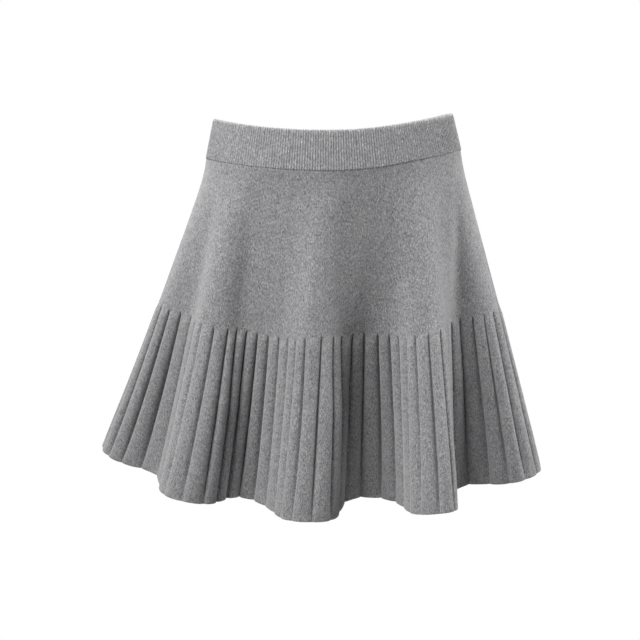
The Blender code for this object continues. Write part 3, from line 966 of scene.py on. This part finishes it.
def make_floor(studio):
    """A pale round floor a metre below the waist, which fades out towards its rim."""
    mesh = bpy.data.meshes.new("pale floor")
    angles = np.linspace(0.0, 2.0 * math.pi, FLOOR_CORNERS + 1)[:-1]
    mesh.from_pydata([(FLOOR_RADIUS * math.cos(angle), FLOOR_RADIUS * math.sin(angle), -FLOOR_DROP)
                      for angle in angles], [], [list(range(FLOOR_CORNERS))])
    floor = new_object("pale_floor", mesh)
    material = bpy.data.materials.new("pale floor")
    material.use_nodes = True
    tree = material.node_tree
    place = add_node(tree, "ShaderNodeTexCoord").outputs["Object"]
    flat = add_node(tree, "ShaderNodeVectorMath", {0: place, 1: (1.0, 1.0, 0.0)}, operation="MULTIPLY")
    out = add_node(tree, "ShaderNodeVectorMath", {0: flat.outputs[0]}, operation="LENGTH").outputs["Value"]
    fade = value_range(tree, out, *FLOOR_FADE, 1.0, 0.0, interpolation_type="SMOOTHSTEP")
    shader = tree.nodes["Principled BSDF"]
    feed(tree, shader.inputs["Alpha"], fade)
    shader.inputs["Base Color"].default_value = studio.floor
    shader.inputs["Roughness"].default_value = 0.9
    mesh.materials.append(material)


def make_light(name, place, power):
    lamp = bpy.data.lights.new(name, "AREA")
    lamp.energy = power
    lamp.size = LIGHT_SIDE
    light = new_object(name, lamp)
    light.location = place
    aim = Vector(LIGHT_AIM) - Vector(place)
    light.rotation_euler = aim.to_track_quat("-Z", "Y").to_euler()


def make_world(studio):
    """White all round behind the skirt, and a weaker even light on it."""
    world = bpy.data.worlds.new("white studio")
    world.use_nodes = True
    tree = world.node_tree
    soft = tree.nodes["Background"]
    soft.inputs["Color"].default_value = WHITE
    soft.inputs["Strength"].default_value = studio.ambient
    seen = add_node(tree, "ShaderNodeBackground", {"Color": WHITE, "Strength": 1.0})
    direct = add_node(tree, "ShaderNodeLightPath").outputs["Is Camera Ray"]
    mixed = add_node(tree, "ShaderNodeMixShader", {
        0: direct, 1: soft.outputs[0], 2: seen.outputs[0]})
    feed(tree, tree.nodes["World Output"].inputs["Surface"], mixed.outputs[0])
    bpy.context.scene.world = world


def make_camera():
    """The photograph's viewpoint, level with the waist and looking slightly down."""
    lens = bpy.data.cameras.new("photo view")
    lens.sensor_width = SENSOR_WIDTH
    lens.lens = FOCAL_PIXELS / PICTURE_SIDE * SENSOR_WIDTH
    camera = new_object("photo view", lens)
    camera.location = CAMERA_PLACE
    level_view = Euler((math.pi / 2.0 - CAMERA_DROP, 0.0, 0.0)).to_matrix()
    camera.rotation_euler = (level_view @ Matrix.Rotation(-CAMERA_ROLL, 3, "Z")).to_euler()
    bpy.context.scene.camera = camera


class SKIRT_PT_sidebar(bpy.types.Panel):
    bl_idname = "SKIRT_PT_sidebar"
    bl_label = "Pleated knit skirt"
    bl_space_type = "VIEW_3D"
    bl_region_type = "UI"
    bl_category = "Knit Skirt"

    def draw(self, context):
        for group in (context.scene.knit_sizes, context.scene.wool_colours, context.scene.studio_settings):
            box = self.layout.box()
            for name in group.__annotations__:
                box.prop(group, name)
        for operator in OPERATORS:
            self.layout.operator(operator.bl_idname)


OPERATORS = (SKIRT_OT_waistband, SKIRT_OT_panels, SKIRT_OT_seams, SKIRT_OT_stage)
GROUPS = {"knit_sizes": KnitSizes, "wool_colours": WoolColours, "studio_settings": StudioSettings}


def register():
    for group in (*GROUPS.values(), *OPERATORS, SKIRT_PT_sidebar):
        bpy.utils.register_class(group)
    for name, group in GROUPS.items():
        setattr(bpy.types.Scene, name, PointerProperty(type=group))


def unregister():
    for name in GROUPS:
        delattr(bpy.types.Scene, name)
    for group in (SKIRT_PT_sidebar, *OPERATORS, *GROUPS.values()):
        bpy.utils.unregister_class(group)


def main():
    register()
    bpy.ops.skirt.waistband()
    bpy.ops.skirt.panels()
    bpy.ops.skirt.seams()
    bpy.ops.skirt.stage()


if __name__ == "__main__":
    main()
